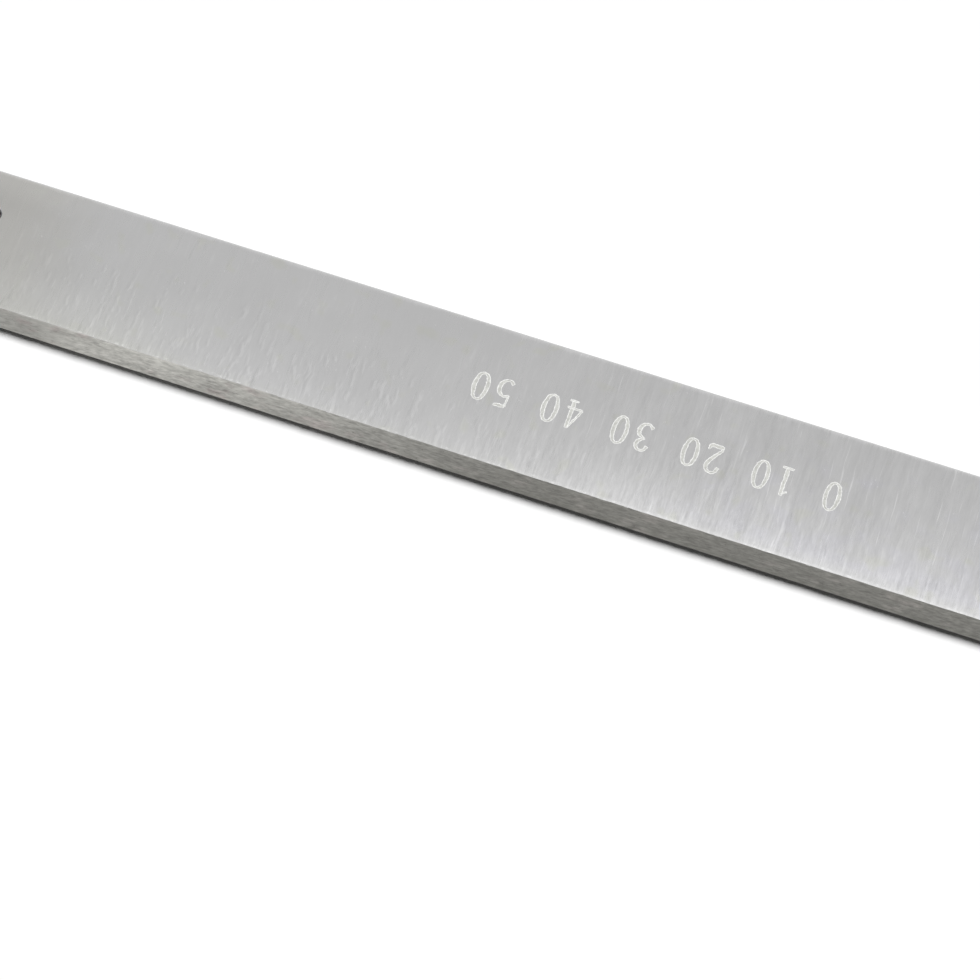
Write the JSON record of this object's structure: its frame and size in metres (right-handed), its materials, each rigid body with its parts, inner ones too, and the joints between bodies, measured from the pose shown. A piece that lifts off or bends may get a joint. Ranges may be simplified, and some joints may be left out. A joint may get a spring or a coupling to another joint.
{
  "type": "planer knife",
  "caption": "Flat ground steel knife for a planer cutter block, with one bevelled cutting edge along its length and locating holes near the heel.",
  "frame": {"origin": "middle of the plain face on which the knife lies, at half its length and half its width", "axes": "+X along the length, -Y towards the cutting edge, +Y towards the heel, +Z out of the marked and bevelled face"},
  "size_m": [0.21, 0.0164, 0.0015],
  "materials": {
    "ground_steel": "satin, ground"
  },
  "bodies": {
    "root": {"knife": "ground_steel"}
  },
  "joints": []
}
